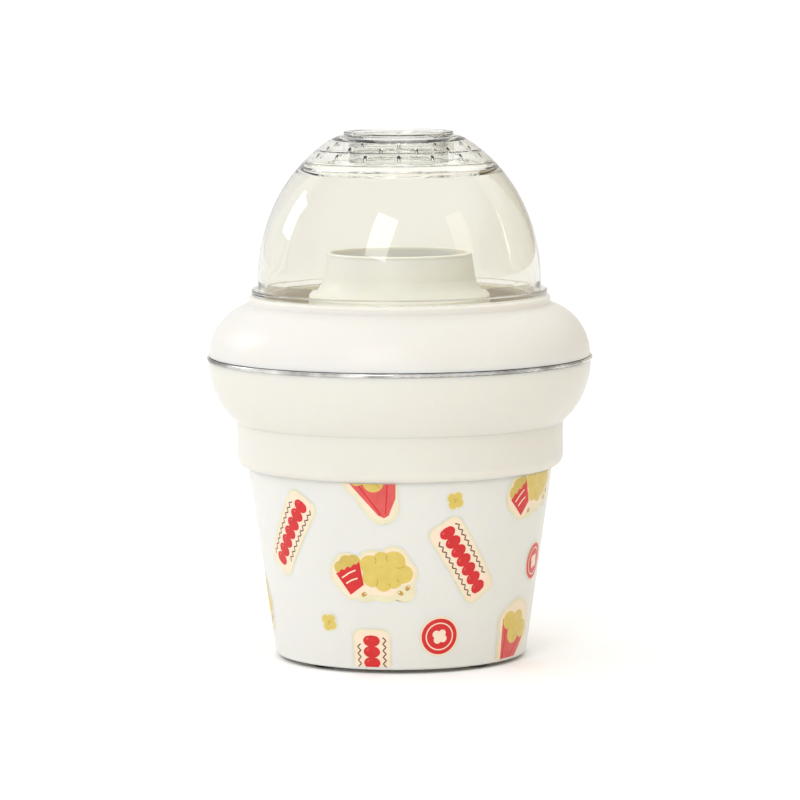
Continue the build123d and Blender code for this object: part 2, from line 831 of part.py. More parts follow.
def vent_cap():
    """Clear cap that completes the dome, with steam holes and a neck for the scoop."""
    foot_z = dome_mouth_z + cap_gap
    head_z = 256.2
    skirt_outer_radius = 47.5
    skirt_inner_radius = 45.7
    skirt_z = dome_mouth_z - 1.0
    wall = 1.9
    outside = dome_curve(foot_z, head_z)
    inside = dome_curve(244.2, 254.0, wall)
    with BuildPart() as cap:
        with BuildSketch(Plane.XZ):
            with BuildLine():
                Spline(*outside)
                Polyline(
                    outside[-1], (cap_neck_outer, cap_top_z), (cap_neck_bore, cap_top_z),
                    (cap_neck_bore, cap_neck_z), (cap_neck_bore + wall, cap_neck_z),
                    (cap_neck_bore + wall, 255.0), inside[-1],
                )
                Spline(*inside)
                Polyline(
                    inside[0], (skirt_inner_radius, skirt_z), (skirt_outer_radius, skirt_z),
                    (skirt_outer_radius, foot_z), outside[0],
                )
            make_face()
        revolve(axis=Axis.Z)
        for height in cap_grooves:
            with BuildSketch(Plane.XZ):
                with Locations((dome_at(height) + 0.2, height)):
                    Circle(0.5)
            revolve(axis=Axis.Z, mode=Mode.SUBTRACT)
        for circle, count in vent_rings:
            rods(246, cap_top_z + 1, vent_radius, circle, count, mode=Mode.SUBTRACT)
    return cap.part


def measuring_cup():
    """Clear scoop that plugs the cap's neck, with a raised bead at each measure."""
    inner = scoop_radius - scoop_wall
    foot = 1.2
    with BuildPart() as scoop:
        turn(
            (0, scoop_bottom_z), (scoop_radius - foot, scoop_bottom_z),
            (scoop_radius, scoop_bottom_z + foot), (scoop_radius, scoop_flange_z),
            (scoop_flange_radius, scoop_flange_z), (scoop_flange_radius, scoop_top_z),
            (inner + 0.6, scoop_top_z), (inner, scoop_top_z - 0.8),
            (inner, scoop_bottom_z + scoop_wall + foot),
            (inner - foot, scoop_bottom_z + scoop_wall), (0, scoop_bottom_z + scoop_wall),
        )
        for height in scoop_beads:
            with BuildSketch(Plane.XZ):
                with Locations((scoop_radius - 0.1, height)):
                    Circle(scoop_bead)
            revolve(axis=Axis.Z)
        rim = scoop.edges().filter_by(GeomType.CIRCLE).filter_by(
            lambda edge: abs(edge.radius - scoop_flange_radius) < 0.01
        )
        fillet(rim, radius=0.5)
    return scoop.part


# ---- printed labels -----------------------------------------------------------------
# Each place is the angle from the front towards +X, the height and, where given, the tilt.
banners = [(-48.8, 67.5, 34), (25.8, 55.8, -33), (-13.0, 4.5, 0), (131, 67, 32),
           (206, 57, -33), (-126, 22, 0)]
puffs = [(20.9, 85.4), (-32.4, 24.6), (106, 21), (160, 66), (202, 88), (-100, 68)]
buckets = [(-11.4, 48.9, 0), (61, 86.5, 12), (138, 28, 0), (-90, 27, 0), (-130, 84, -6)]
cones = [(-9.4, 91.5, 14), (57.2, 12.0, -25), (99, 87, -14), (174, 86, 10), (-97, 89, 12)]
discs = [(16.7, 18.4), (71, 49.5), (-152, 20), (-109, 52)]


def label_skin():
    """Thin conical skin just outside the cup's wall, which trims every label to shape."""
    low = cup_bottom_z + 1.6
    high = cup_neck_z + 1.4
    near = label_gap
    far = label_gap + label_thickness
    with BuildPart() as skin:
        turn(
            (cup_radius(low) + near, low), (cup_radius(low) + far, low),
            (cup_radius(high) + far, high), (cup_radius(high) + near, high),
        )
    return skin.part


def labels(places, draw):
    """Labels of one kind, each drawn on a plane facing the wall and trimmed by the skin."""
    with BuildPart() as stock:
        for place in places:
            angle = math.radians(place[0])
            outward = Vector(math.sin(angle), -math.cos(angle), 0)
            across = Vector(math.cos(angle), math.sin(angle), 0)
            start = outward * (cup_bottom_radius - 12) + Vector(0, 0, place[1])
            with BuildSketch(Plane(origin=start, x_dir=across, z_dir=outward)):
                draw(place[2] if len(place) > 2 else 0)
            extrude(amount=30)
        add(label_skin(), mode=Mode.INTERSECT)
    return stock.part


def draw_banner(tilt):
    with Locations(Location((0, 0, 0), (0, 0, -tilt))):
        RectangleRounded(17.5, 44, 4)


def draw_puff(tilt):
    with PolarLocations(1.9, 4, start_angle=20):
        Circle(2.4)


def draw_disc(tilt):
    Circle(9.8)


def draw_bucket(tilt):
    with Locations(Location((0, 0, 0), (0, 0, tilt))):
        with Locations((-13.5, 0)):
            RectangleRounded(16, 21, 4)
        with Locations((-5, -1)):
            Rectangle(6, 13)
        with Locations((1, 0), (9, 2.5), (14.5, -2)):
            Circle(8.6)
        with Locations((6, -7)):
            RectangleRounded(31, 10, 4)


def draw_cone(tilt):
    with Locations(Location((0, 0, 0), (0, 0, tilt))):
        Polygon((0, -17), (10.5, 6), (-10.5, 6), align=None)
        with Locations((-6, 7), (6, 7), (0, 10)):
            Circle(7)


# ---- build and export ---------------------------------------------------------------
subparts = {
    "cup_housing": cup_housing(),
    "base_plate": base_plate(),
    "feet": feet(),
    "base_screws": screws(2.4, 15.0, foot_circle, 4, quarter_angles),
    "lower_collar": lower_collar(),
    "collar_screws": screws(cup_top_z - cup_wall, 118.0, 67.5, 4, quarter_angles),
    "chrome_ring": chrome_ring(),
    "deck_plate": deck_plate(),
    "deck_screws": screws(deck_z + deck_thickness, 132.5, 73.5, 4, 0),
    "popping_chamber": popping_chamber(),
    "chamber_gasket": chamber_gasket(),
    "chamber_screws": screws(deck_hub_z + gasket_height + chamber_wall, 136.5, 42.0, 4,
                             quarter_angles),
    "heater_housing": heater_housing(),
    "mica_frame": mica_frame(),
    "heater_coil": heater_coil(),
    "thermostat": thermostat(),
    "thermal_fuse": thermal_fuse(),
    "fan_housing": fan_housing(),
    "stack_screws": screws(can_bottom_z - 4, 76.0, stack_circle, 3, 30),
    "motor_can": motor_can(),
    "motor_end_cap": motor_end_cap(),
    "motor_terminals": motor_terminals(),
    "motor_magnets": motor_magnets(),
    "motor_armature": motor_armature(),
    "motor_shaft": motor_shaft(),
    "fan_impeller": fan_impeller(),
    "rectifier_board": rectifier_board(),
    "switch_housing": switch_housing(),
    "rocker_button": rocker_button(),
    "switch_terminals": switch_terminals(),
    "cord_gland": cord_gland(),
    "bowl_shell": bowl_shell(),
    "popcorn_tray": popcorn_tray(),
    "chimney_liner": chimney_liner(),
    "dome_lid": dome_lid(),
    "vent_cap": vent_cap(),
    "measuring_cup": measuring_cup(),
    "label_banners": labels(banners, draw_banner),
    "label_puffs": labels(puffs, draw_puff),
    "label_buckets": labels(buckets, draw_bucket),
    "label_cones": labels(cones, draw_cone),
    "label_discs": labels(discs, draw_disc),
}

os.makedirs("parts", exist_ok=True)
for name, shape in subparts.items():
    shape.label = name
    export_step(shape, f"parts/{name}.step")
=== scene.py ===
import json
import math

import bmesh
import bpy
from mathutils import Matrix, Vector


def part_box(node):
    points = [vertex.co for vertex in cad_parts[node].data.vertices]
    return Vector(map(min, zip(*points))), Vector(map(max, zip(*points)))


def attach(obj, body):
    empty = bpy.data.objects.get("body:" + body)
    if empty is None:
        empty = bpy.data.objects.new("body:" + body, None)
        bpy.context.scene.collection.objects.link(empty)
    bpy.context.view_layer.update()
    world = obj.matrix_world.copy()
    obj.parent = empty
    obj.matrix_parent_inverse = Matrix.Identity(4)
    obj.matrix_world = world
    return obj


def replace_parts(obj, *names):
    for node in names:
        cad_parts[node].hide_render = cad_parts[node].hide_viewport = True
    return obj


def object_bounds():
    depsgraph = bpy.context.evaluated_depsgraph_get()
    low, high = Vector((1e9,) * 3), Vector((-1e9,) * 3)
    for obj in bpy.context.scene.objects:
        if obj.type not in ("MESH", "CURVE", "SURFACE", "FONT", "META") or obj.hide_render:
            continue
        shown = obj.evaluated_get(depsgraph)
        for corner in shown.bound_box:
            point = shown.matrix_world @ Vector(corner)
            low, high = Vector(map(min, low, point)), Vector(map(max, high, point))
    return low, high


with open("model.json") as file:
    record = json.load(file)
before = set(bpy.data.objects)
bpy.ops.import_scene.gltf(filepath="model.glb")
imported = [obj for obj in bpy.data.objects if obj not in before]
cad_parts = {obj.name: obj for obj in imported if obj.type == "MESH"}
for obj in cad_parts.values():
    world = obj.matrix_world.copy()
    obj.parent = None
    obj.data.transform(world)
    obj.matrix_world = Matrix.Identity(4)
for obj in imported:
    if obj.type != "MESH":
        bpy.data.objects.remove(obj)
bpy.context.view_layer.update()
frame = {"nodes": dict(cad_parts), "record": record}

MM = 0.001


def srgb(red, green, blue):
    """Linear colour, opaque, from 0-255 screen values."""
    def linear(value):
        value /= 255
        return value / 12.92 if value <= 0.04045 else ((value + 0.055) / 1.055) ** 2.4
    return (linear(red), linear(green), linear(blue), 1.0)


# ---------------------------------------------------------------- materials
NOISE_LOW, NOISE_HIGH = 0.3, 0.7    # nearly all of a noise factor's values lie between these
GRAIN_DEPTH = 0.0004                # full depth of the surface grain, in metres


def node(tree, kind, **values):
    """A shader node with its properties and input values set by name."""
    made = tree.nodes.new(kind)
    for name, value in values.items():
        name = name.replace("_", " ") if name.replace("_", " ") in made.inputs else name
        if name in made.inputs:
            made.inputs[name].default_value = value
        else:
            setattr(made, name, value)
    return made


def noise_at(tree, coords, scale, detail=3.0, stretch=None):
    """Noise factor over object coordinates, optionally stretched along an axis."""
    source = coords
    if stretch:
        mapping = node(tree, "ShaderNodeMapping")
        mapping.inputs["Scale"].default_value = stretch
        tree.links.new(coords, mapping.inputs["Vector"])
        source = mapping.outputs["Vector"]
    made = node(tree, "ShaderNodeTexNoise", Scale=scale, Detail=detail)
    tree.links.new(source, made.inputs["Vector"])
    return made.outputs["Fac"]


def spread(tree, factor, low, high):
    """Map a noise factor onto low-high."""
    made = node(tree, "ShaderNodeMapRange", From_Min=NOISE_LOW, From_Max=NOISE_HIGH,
                To_Min=low, To_Max=high)
    tree.links.new(factor, made.inputs["Value"])
    return made.outputs["Result"]


def tint(tree, factor, dark, light):
    """Colour that drifts between two values with a noise factor."""
    made = node(tree, "ShaderNodeValToRGB")
    for stop, position, colour in zip(
        made.color_ramp.elements, (NOISE_LOW, NOISE_HIGH), (dark, light)
    ):
        stop.position, stop.color = position, colour
    tree.links.new(factor, made.inputs["Fac"])
    return made.outputs["Color"]


def surface(name, dark, light, roughness=(0.3, 0.4), patch=14.0, grain=900.0, relief=0.03,
            stretch=None, **shader):
    """Procedural finish: drifting colour, uneven gloss and a fine grain in the relief."""
    material = bpy.data.materials.new(name)
    material.use_nodes = True
    tree = material.node_tree
    tree.nodes.clear()
    out = node(tree, "ShaderNodeOutputMaterial")
    bsdf = node(tree, "ShaderNodeBsdfPrincipled")
    for key, value in shader.items():
        bsdf.inputs[key.replace("_", " ")].default_value = value
    coords = node(tree, "ShaderNodeTexCoord").outputs["Object"]
    drift = noise_at(tree, coords, patch, 4.0)
    fine = noise_at(tree, coords, grain, 2.0, stretch)
    smudge = noise_at(tree, coords, patch * 5, 3.0)
    tree.links.new(tint(tree, drift, dark, light), bsdf.inputs["Base Color"])
    tree.links.new(spread(tree, smudge, *roughness), bsdf.inputs["Roughness"])
    bump = node(tree, "ShaderNodeBump", Strength=relief, Distance=GRAIN_DEPTH)
    tree.links.new(fine, bump.inputs["Height"])
    tree.links.new(bump.outputs["Normal"], bsdf.inputs["Normal"])
    tree.links.new(bsdf.outputs["BSDF"], out.inputs["Surface"])
    return material


def clear_plastic(name, colour, passed, ripple):
    """Clear moulded plastic with faint flow ripples, which lets lamp and soft light through."""
    material = surface(
        name, colour, colour, (0.0, 0.03), patch=20, grain=ripple, relief=0.05,
        Transmission_Weight=1.0, IOR=1.45, Specular_IOR_Level=0.5,
    )
    tree = material.node_tree
    out = [n for n in tree.nodes if n.type == "OUTPUT_MATERIAL"][0]
    shader = out.inputs["Surface"].links[0].from_socket
    mix = node(tree, "ShaderNodeMixShader")
    through = node(tree, "ShaderNodeBsdfTransparent", Color=passed)
    ray = node(tree, "ShaderNodeLightPath")
    bounced = node(tree, "ShaderNodeMath", operation="MAXIMUM")
    tree.links.new(ray.outputs["Is Shadow Ray"], bounced.inputs[0])
    tree.links.new(ray.outputs["Is Diffuse Ray"], bounced.inputs[1])
    tree.links.new(bounced.outputs[0], mix.inputs["Fac"])
    tree.links.new(shader, mix.inputs[1])
    tree.links.new(through.outputs["BSDF"], mix.inputs[2])
    tree.links.new(mix.outputs["Shader"], out.inputs["Surface"])
    return material


# Light soaks a few millimetres into the cream plastic, further in red than in blue.
SOAK = {"Subsurface_Weight": 0.5, "Subsurface_Radius": (1.0, 0.72, 0.4),
        "Subsurface_Scale": 0.005}
CREAM_CUP = surface("cream_cup", srgb(220, 218, 212), srgb(223, 221, 216), (0.3, 0.38), **SOAK)
CREAM_COLLAR = surface("cream_collar", srgb(218, 215, 206), srgb(221, 218, 210), (0.3, 0.4),
                       **SOAK)
CREAM_BOWL = surface("cream_bowl", srgb(219, 217, 212), srgb(222, 220, 216), (0.3, 0.4), **SOAK)
# Painted light: the tray and chimney liner are the bowl's cream painted lighter. This makes up
# for the light that the clear dome above them holds back.
CREAM_TRAY_PAINTED_LIGHTER = surface("cream_tray", srgb(243, 238, 230), srgb(245, 241, 234), (0.32, 0.42),
                     **SOAK)
CREAM_BASE = surface("cream_base", srgb(228, 222, 208), srgb(236, 230, 217), (0.45, 0.6),
                     grain=1600, relief=0.12)
# Painted reflections: the chrome's colour swings from black to white in broad patches. These
# stand in for the dark and bright surroundings mirrored in the ring.
CHROME_PAINTED_REFLECTIONS = surface("chrome_trim", srgb(0, 0, 0), srgb(255, 253, 250), (0.05, 0.12),
                 patch=36, grain=1200, relief=0.01, Metallic=1.0)
RUBBER = surface("foot_rubber", srgb(38, 37, 36), srgb(50, 49, 48), (0.6, 0.8), relief=0.2)
STEEL = surface("screw_steel", srgb(150, 148, 145), srgb(182, 180, 176), (0.25, 0.45),
                relief=0.05, Metallic=1.0)
SHEET = surface("can_metal", srgb(150, 151, 152), srgb(190, 190, 188), (0.25, 0.45),
                patch=40, stretch=(1, 1, 12), relief=0.08, Metallic=1.0)
ALUMINIUM = surface("chamber_aluminium", srgb(176, 176, 176), srgb(205, 205, 203), (0.22, 0.38),
                    patch=20, stretch=(1, 1, 20), relief=0.06, Metallic=1.0)
DECK = surface("deck_plastic", srgb(58, 56, 54), srgb(72, 70, 67), (0.5, 0.65), relief=0.1)
SILICONE = surface("seal_silicone", srgb(150, 42, 30), srgb(172, 54, 40), (0.5, 0.65))
MICA = surface("mica", srgb(160, 146, 112), srgb(196, 184, 150), (0.35, 0.6), patch=120)
WIRE = surface("heating_wire", srgb(92, 84, 78), srgb(122, 112, 100), (0.35, 0.5), Metallic=1.0)
BLACK = surface("control_black", srgb(20, 20, 20), srgb(30, 30, 30), (0.4, 0.55))
SLEEVE = surface("fuse_sleeve", srgb(208, 206, 198), srgb(228, 226, 220), (0.7, 0.9),
                 grain=2500, relief=0.3)
FAN = surface("fan_plastic", srgb(214, 212, 206), srgb(226, 225, 220), (0.4, 0.55))
MAGNET = surface("magnet_black", srgb(34, 34, 36), srgb(48, 48, 50), (0.5, 0.7), relief=0.15)
ARMATURE = surface("armature_steel", srgb(120, 84, 52), srgb(158, 118, 76), (0.3, 0.5),
                   Metallic=1.0)
BRASS = surface("terminal_brass", srgb(176, 146, 84), srgb(204, 176, 112), (0.25, 0.4),
                Metallic=1.0)
BOARD = surface("board_resin", srgb(138, 104, 58), srgb(160, 124, 74), (0.4, 0.55))
SWITCH = surface("switch_black", srgb(14, 14, 14), srgb(22, 22, 22), (0.22, 0.34), relief=0.02)
DOME = clear_plastic("clear_dome", srgb(245, 244, 238), srgb(254, 254, 251), 60)
CAP = clear_plastic("clear_cap", srgb(253, 253, 250), srgb(250, 250, 246), 60)
SCOOP = clear_plastic("clear_scoop", srgb(254, 254, 252), srgb(250, 250, 247), 80)

FINISH = {
    "cup_housing": CREAM_CUP, "lower_collar": CREAM_COLLAR, "bowl_shell": CREAM_BOWL,
    "popcorn_tray": CREAM_TRAY_PAINTED_LIGHTER, "chimney_liner": CREAM_TRAY_PAINTED_LIGHTER, "base_plate": CREAM_BASE,
    "chrome_ring": CHROME_PAINTED_REFLECTIONS, "feet": RUBBER, "base_screws": STEEL, "collar_screws": STEEL,
    "deck_screws": STEEL, "chamber_screws": STEEL, "stack_screws": STEEL, "deck_plate": DECK,
    "popping_chamber": ALUMINIUM, "chamber_gasket": SILICONE, "heater_housing": SHEET,
    "mica_frame": MICA, "heater_coil": WIRE, "thermostat": BLACK, "thermal_fuse": SLEEVE,
    "fan_housing": FAN, "fan_impeller": FAN, "motor_can": SHEET, "motor_end_cap": BLACK,
    "motor_terminals": BRASS, "motor_magnets": MAGNET, "motor_armature": ARMATURE,
    "motor_shaft": STEEL, "rectifier_board": BOARD, "switch_housing": SWITCH,
    "rocker_button": SWITCH, "switch_terminals": BRASS, "cord_gland": SWITCH,
    "dome_lid": DOME, "vent_cap": CAP, "measuring_cup": SCOOP,
}
for name, finish in FINISH.items():
    mesh = frame["nodes"][name].data
    mesh.materials.clear()
    mesh.materials.append(finish)


# ---------------------------------------------------------------- the cup's cone
# Lengths here and in the artwork are millimetres.
cup_low, cup_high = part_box("cup_housing")
CUP_BOTTOM_Z = cup_low.z / MM
CUP_NECK_Z = 93.0               # the cone ends here, at the cup's widest
CUP_SLOPE = 0.1415              # radius gained per millimetre of height
CUP_FOOT_RADIUS = cup_high.x / MM - CUP_SLOPE * (CUP_NECK_Z - CUP_BOTTOM_Z)
PRINT_LOW_Z = CUP_BOTTOM_Z + 1.5
PRINT_HIGH_Z = 94.2             # inside the collar's band
PRINT_LIFT = 0.035              # gap between the cup and the lowest layer of ink
PRINT_LAYER = 0.022             # each layer's step outwards
PRINT_STRIP = 1.5               # widest flat strip when a print bends round the cup


def cup_radius(z):
    """Outer radius of the cup at height z, in millimetres."""
    return CUP_FOOT_RADIUS + CUP_SLOPE * (z - CUP_BOTTOM_Z)


# ---------------------------------------------------------------- flat artwork
def blob(*circles, steps=88):
    """Outline of overlapping circles (x, y, radius), seen from their middle."""
    cx = sum(c[0] for c in circles) / len(circles)
    cy = sum(c[1] for c in circles) / len(circles)
    outline = []
    for step in range(steps):
        angle = 2 * math.pi * step / steps
        dx, dy = math.cos(angle), math.sin(angle)
        reach = 0.3
        for x, y, radius in circles:
            along = (x - cx) * dx + (y - cy) * dy
            apart = (x - cx) ** 2 + (y - cy) ** 2 - along**2
            if apart < radius**2:
                reach = max(reach, along + math.sqrt(radius**2 - apart))
        outline.append((cx + reach * dx, cy + reach * dy))
    return outline


def grown(circles, amount):
    """The same circles with larger radii."""
    return [(x, y, radius + amount) for x, y, radius in circles]


def panel(width, height, radius, steps=6):
    """Rounded rectangle about the origin."""
    outline = []
    for quarter, (sx, sy) in enumerate(((1, 1), (-1, 1), (-1, -1), (1, -1))):
        for step in range(steps + 1):
            angle = math.pi / 2 * (quarter + step / steps)
            outline.append((
                sx * (width / 2 - radius) + radius * math.cos(angle),
                sy * (height / 2 - radius) + radius * math.sin(angle),
            ))
    return outline


def ellipse(cx, cy, across, up, turn=0.0, steps=40):
    """Ellipse about a point, turned by an angle in radians."""
    outline = []
    for step in range(steps):
        angle = 2 * math.pi * step / steps
        x, y = across * math.cos(angle), up * math.sin(angle)
        outline.append((
            cx + x * math.cos(turn) - y * math.sin(turn),
            cy + x * math.sin(turn) + y * math.cos(turn),
        ))
    return outline


def ribbon(points, width):
    """Outline of a stroke of even width along a path."""
    left, right = [], []
    for index, point in enumerate(points):
        before = Vector(points[max(index - 1, 0)])
        after = Vector(points[min(index + 1, len(points) - 1)])
        way = (after - before).normalized()
        side = Vector((-way.y, way.x)) * width / 2
        left.append(tuple(Vector(point) + side))
        right.append(tuple(Vector(point) - side))
    return left + right[::-1]


def zigzag(x, low, high, reach=0.75, pitch=3.3):
    """Wavy line up one side of a banner."""
    steps = int((high - low) / pitch * 2)
    points = []
    for step in range(steps * 3 + 1):
        share = step / 3
        saw = abs((share % 2) - 1) * 2 - 1
        points.append((x + reach * saw, low + share * pitch / 2))
    return ribbon(points, 0.62)


def garland(low, high, beads, thick=4.0, waist=1.5):
    """A string of fat beads, as one outline."""
    left, right = [], []
    steps = beads * 14
    for step in range(steps + 1):
        share = step / steps
        y = low + (high - low) * share
        bead = abs(math.sin(math.pi * share * beads)) ** 0.6
        width = (waist if 0 < step < steps else 0.4) + (thick - waist) * bead
        right.append((width, y))
        left.append((-width, y))
    return right + left[::-1]


# Each sheet of artwork is (ink, layer, outline): a higher layer is printed over a lower one.
FINE_LINE = 0.4
FOLD_LINE = 0.7
BEADS = 7
BEADS_REACH = 19.3              # the string of beads runs this far up and down a banner


def banner_art():
    """Cream strip with a wavy line up each side and a string of red beads."""
    art = [
        ("khaki", 0, panel(18.2, 45.0, 4.6)),
        ("peach", 1, panel(16.2, 43.0, 3.8)),
        ("brown", 2, zigzag(-6.1, -18.0, 16.0)),
        ("brown", 2, zigzag(6.1, -13.0, 18.5)),
        ("red", 2, garland(-BEADS_REACH, BEADS_REACH, BEADS)),
    ]
    pitch = 2 * BEADS_REACH / BEADS
    for bead in range(BEADS):
        y = -BEADS_REACH + pitch * (bead + 0.5)
        art.append(("pink", 3, ellipse(-1.9, y + 1.0, 0.8, 0.4, 0.7, 14)))
    return art


def puff_art():
    """One small popped kernel."""
    lobes = [(-1.7, 1.3, 2.2), (1.3, 1.9, 2.1), (1.9, -1.2, 2.2), (-1.0, -1.9, 2.2)]
    return [
        ("khaki", 0, blob(*grown(lobes, 0.6))),
        ("yellow", 1, blob(*lobes)),
        ("amber", 2, ribbon([(-0.7, 0.9), (0.2, 0.2), (1.2, 0.7)], FINE_LINE)),
        ("amber", 2, ribbon([(0.1, -0.1), (-0.3, -1.1)], FINE_LINE)),
    ]


def kernel(cx, cy, turn):
    """One loose unpopped kernel with a pale tip."""
    tip = (cx + 0.85 * math.cos(turn), cy + 0.85 * math.sin(turn))
    return [
        ("amber", 3, ellipse(cx, cy, 1.5, 1.05, turn, 24)),
        ("peach", 4, ellipse(*tip, 0.42, 0.5, turn, 14)),
    ]


def creases(*paths):
    """Fine folds that run in from the notches between a popped kernel's lobes."""
    return [("amber", 4, ribbon(path, FINE_LINE)) for path in paths]


def disc_art():
    """Red spot with a cream popped kernel in a ring."""
    lobes = [(-1.5, 1.0, 1.7), (1.2, 1.5, 1.6), (1.6, -1.0, 1.7), (-0.9, -1.5, 1.7)]
    return [
        ("khaki", 0, ellipse(0, 0, 10.0, 10.0, steps=64)),
        ("peach", 1, ellipse(0, 0, 9.6, 9.6, steps=64)),
        ("red", 2, ellipse(0, 0, 8.9, 8.9, steps=64)),
        ("peach", 3, ellipse(0, 0, 6.9, 6.9, steps=64)),
        ("red", 4, ellipse(0, 0, 6.3, 6.3, steps=64)),
        ("peach", 5, blob(*[(x * 1.1, y * 1.1, r * 1.1) for x, y, r in lobes])),
    ]


def bucket_art():
    """Bag of popcorn beside a big popped kernel, with three loose kernels."""
    cloud = [(-1.2, 5.3, 4.9), (4.6, 7.6, 4.4), (10.3, 6.9, 5.5), (15.0, 0.9, 4.5),
             (10.0, -1.6, 4.6), (5.2, -3.4, 4.3), (-0.2, -0.6, 5.0)]
    heap = [(-16.2, 3.6, 3.2), (-13.0, 6.2, 3.6), (-9.4, 6.6, 3.6), (-10.8, 2.0, 4.2)]
    bag = [(-18.8, 0.6), (-17.0, 1.2), (-15.8, 2.8), (-14.2, 2.4), (-12.6, 4.2), (-10.8, 3.8),
           (-9.2, 5.6), (-8.0, 5.4), (-6.4, 7.0), (-4.6, -4.6), (-11.6, -9.8)]
    hem = [(-12, 1, 10), (-13, 4, 7.2), (-10, -5, 7.2), (0, -2, 10.4), (0, 5, 8.0),
           (10, 6.6, 8.2), (15, 1, 7.0), (15.5, -7.5, 5.6), (6, -5.5, 7.8), (-4, -6.5, 6.6)]
    inner = [(-12, 1, 8.6), (-13, 4, 5.8), (-10.6, -4.8, 6.2), (0, -1, 8.6), (0, 5, 6.4),
             (10, 6.6, 6.8), (15, 1, 5.6), (6, -3.5, 6.6)]
    return [
        ("khaki", 0, blob(*hem)),
        ("peach", 1, blob(*inner)),
        ("yellow_deep", 2, blob(*heap)),
        ("yellow", 3, blob(*cloud)),
        ("red", 4, bag),
        ("peach", 5, ribbon([(-15.6, -1.5), (-11.6, 1.2), (-8.4, 2.6)], FOLD_LINE)),
        ("peach", 5, ribbon([(-13.6, -4.2), (-10.6, -2.4), (-7.6, -1.4)], FOLD_LINE)),
        *creases(
            [(1.3, 9.3), (1.9, 7.6), (1.4, 6.2)], [(7.1, 10.4), (6.6, 8.8), (7.4, 7.4)],
            [(15.0, 4.8), (13.2, 3.9), (11.6, 4.3)], [(12.7, -3.0), (11.8, -1.4)],
            [(8.3, -5.2), (7.7, -3.6)], [(1.6, -4.9), (2.4, -3.2), (1.9, -1.8)],
        ),
        *kernel(-4.6, -9.2, 0.5),
        *kernel(13.4, -8.4, 2.5),
        *kernel(16.9, -5.9, 1.2),
    ]


def cone_art():
    """Pink paper cone of popcorn with two folds down its front."""
    cone = [(-12.4, 7.4), (-10.6, 3.6), (-2.0, -12.6), (0.6, -14.6), (3.2, -13.8), (8.4, -6.6),
            (11.0, 2.8), (12.2, 8.0), (6.0, 5.4), (0, 6.6), (-6.4, 5.0)]
    heap = [(-7.2, 8.2, 4.6), (0.2, 10.4, 5.4), (7.4, 8.6, 4.6), (0, 4.0, 5.2)]
    hem = [(0, 8, 13.6), (-6, 7, 9.4), (6, 7, 9.4), (0, -2, 10.6), (1, -9, 8.6)]
    inner = [(0, 8, 11.8), (-6, 7, 7.8), (6, 7, 7.8), (0, -2, 9.0), (1, -9, 6.6)]
    return [
        ("khaki", 0, blob(*hem)),
        ("peach", 1, blob(*inner)),
        ("pink", 2, cone),
        ("red", 3, ribbon([(-7.4, 3.6), (-0.6, -12.6)], FOLD_LINE)),
        ("red", 3, ribbon([(7.2, 3.8), (1.8, -12.8)], FOLD_LINE)),
        ("yellow", 3, blob(*heap)),
        *creases([(-4.7, 11.8), (-3.6, 10.2), (-3.9, 8.6)], [(4.9, 12.2), (3.9, 10.4)],
                 [(2.4, 0.2), (1.4, 2.0), (2.0, 3.6)]),
    ]


INKS = {
    "khaki": ((218, 211, 176), (224, 217, 185)),
    "peach": ((233, 212, 186), (236, 217, 194)),
    "red": ((196, 12, 18), (208, 18, 24)),
    "pink": ((204, 72, 70), (214, 84, 82)),
    "yellow": ((205, 180, 84), (214, 190, 98)),
    "yellow_deep": ((194, 168, 76), (204, 178, 88)),
    "amber": ((182, 138, 48), (192, 148, 58)),
    "brown": ((76, 42, 16), (94, 54, 22)),
}
ink_order = list(INKS)
inks = [
    surface("ink_" + name, srgb(*dark), srgb(*light), (0.3, 0.42), patch=220, grain=2600,
            relief=0.06)
    for name, (dark, light) in INKS.items()
]


def cut_sheet(sheet, point, normal, clear=False):
    """Cut a sheet along a plane, and drop what lies beyond it if asked."""
    bmesh.ops.bisect_plane(
        sheet, geom=sheet.verts[:] + sheet.edges[:] + sheet.faces[:],
        plane_co=point, plane_no=normal, clear_outer=clear,
    )


def wrapped_sheet(outline, layer, tilt, angle, height):
    """One sheet of artwork, trimmed at the cup's two edges and bent round its cone."""
    sheet = bmesh.new()
    sheet.faces.new([sheet.verts.new((x, y, 0)) for x, y in outline])
    bmesh.ops.triangulate(sheet, faces=sheet.faces[:])
    sheet.transform(tilt)
    across = [vertex.co.x for vertex in sheet.verts]
    first, last = min(across) / PRINT_STRIP, max(across) / PRINT_STRIP
    for cut in range(math.floor(first), math.ceil(last)):
        cut_sheet(sheet, (cut * PRINT_STRIP, 0, 0), (1, 0, 0))
    cut_sheet(sheet, (0, PRINT_LOW_Z - height, 0), (0, -1, 0), clear=True)
    cut_sheet(sheet, (0, PRINT_HIGH_Z - height, 0), (0, 1, 0), clear=True)
    for vertex in sheet.verts:
        z = height + vertex.co.y
        radius = cup_radius(z) + PRINT_LIFT + PRINT_LAYER * layer
        around = angle + vertex.co.x / cup_radius(height)
        vertex.co = Vector((radius * math.sin(around), -radius * math.cos(around), z)) * MM
    bmesh.ops.recalc_face_normals(sheet, faces=sheet.faces[:])
    for face in sheet.faces:
        centre = face.calc_center_median()
        if face.normal.dot(Vector((centre.x, centre.y, 0))) < 0:
            face.normal_flip()
    return sheet


